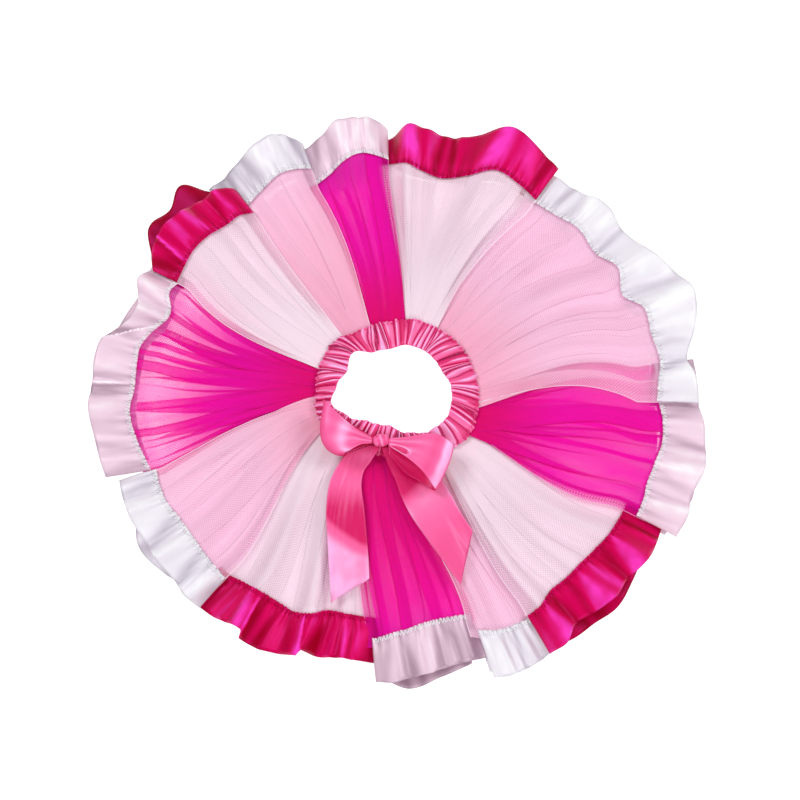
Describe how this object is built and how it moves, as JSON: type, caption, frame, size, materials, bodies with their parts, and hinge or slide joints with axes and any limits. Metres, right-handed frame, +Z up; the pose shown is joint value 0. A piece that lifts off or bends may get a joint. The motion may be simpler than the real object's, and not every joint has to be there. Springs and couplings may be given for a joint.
{
  "type": "tulle tutu skirt",
  "caption": "Child's tutu skirt laid flat in a ring: two layers of tulle panels with gathered satin ribbon hems, on a gathered elastic waistband with a satin bow.",
  "frame": {"origin": "on the surface that the skirt lies on, under the middle of its whole outline", "axes": "+Z up, -Y towards the front with the bow, +X to the right of someone who faces that front"},
  "size_m": [0.6138, 0.6009, 0.0623],
  "materials": {
    "light_pink_tulle": "fine even net, matt, see-through",
    "white_tulle": "fine even net, matt, see-through",
    "hot_pink_tulle": "fine even net, matt, see-through",
    "white_satin": "glossy satin ribbon",
    "hot_pink_satin": "glossy satin ribbon",
    "light_pink_satin": "glossy satin ribbon",
    "pink_satin": "glossy gathered satin"
  },
  "bodies": {
    "root": {"tulle_outer_01": "light_pink_tulle", "ribbon_outer_01": "white_satin", "tulle_outer_02": "white_tulle", "ribbon_outer_02": "hot_pink_satin", "tulle_outer_03": "hot_pink_tulle", "ribbon_outer_03": "light_pink_satin", "tulle_outer_04": "light_pink_tulle", "ribbon_outer_04": "white_satin", "tulle_outer_05": "white_tulle", "ribbon_outer_05": "hot_pink_satin", "tulle_outer_06": "hot_pink_tulle", "ribbon_outer_06": "light_pink_satin", "tulle_outer_07": "light_pink_tulle", "ribbon_outer_07": "white_satin", "tulle_outer_08": "white_tulle", "ribbon_outer_08": "hot_pink_satin", "tulle_outer_09": "hot_pink_tulle", "ribbon_outer_09": "light_pink_satin", "tulle_outer_10": "light_pink_tulle", "ribbon_outer_10": "white_satin", "tulle_outer_11": "white_tulle", "ribbon_outer_11": "hot_pink_satin", "tulle_outer_12": "hot_pink_tulle", "ribbon_outer_12": "light_pink_satin", "tulle_under_01": "light_pink_tulle", "ribbon_under_01": "white_satin", "tulle_under_02": "white_tulle", "ribbon_under_02": "hot_pink_satin", "tulle_under_03": "hot_pink_tulle", "ribbon_under_03": "light_pink_satin", "tulle_under_04": "light_pink_tulle", "ribbon_under_04": "white_satin", "tulle_under_05": "white_tulle", "ribbon_under_05": "hot_pink_satin", "tulle_under_06": "hot_pink_tulle", "ribbon_under_06": "light_pink_satin", "tulle_under_07": "light_pink_tulle", "ribbon_under_07": "white_satin", "tulle_under_08": "white_tulle", "ribbon_under_08": "hot_pink_satin", "tulle_under_09": "hot_pink_tulle", "ribbon_under_09": "light_pink_satin", "tulle_under_10": "light_pink_tulle", "ribbon_under_10": "white_satin", "tulle_under_11": "white_tulle", "ribbon_under_11": "hot_pink_satin", "tulle_under_12": "hot_pink_tulle", "ribbon_under_12": "light_pink_satin", "waistband": "pink_satin", "bow_knot": "pink_satin", "bow_loop_left": "pink_satin", "bow_loop_right": "pink_satin", "bow_tail_left": "pink_satin", "bow_tail_right": "pink_satin"}
  },
  "joints": []
}
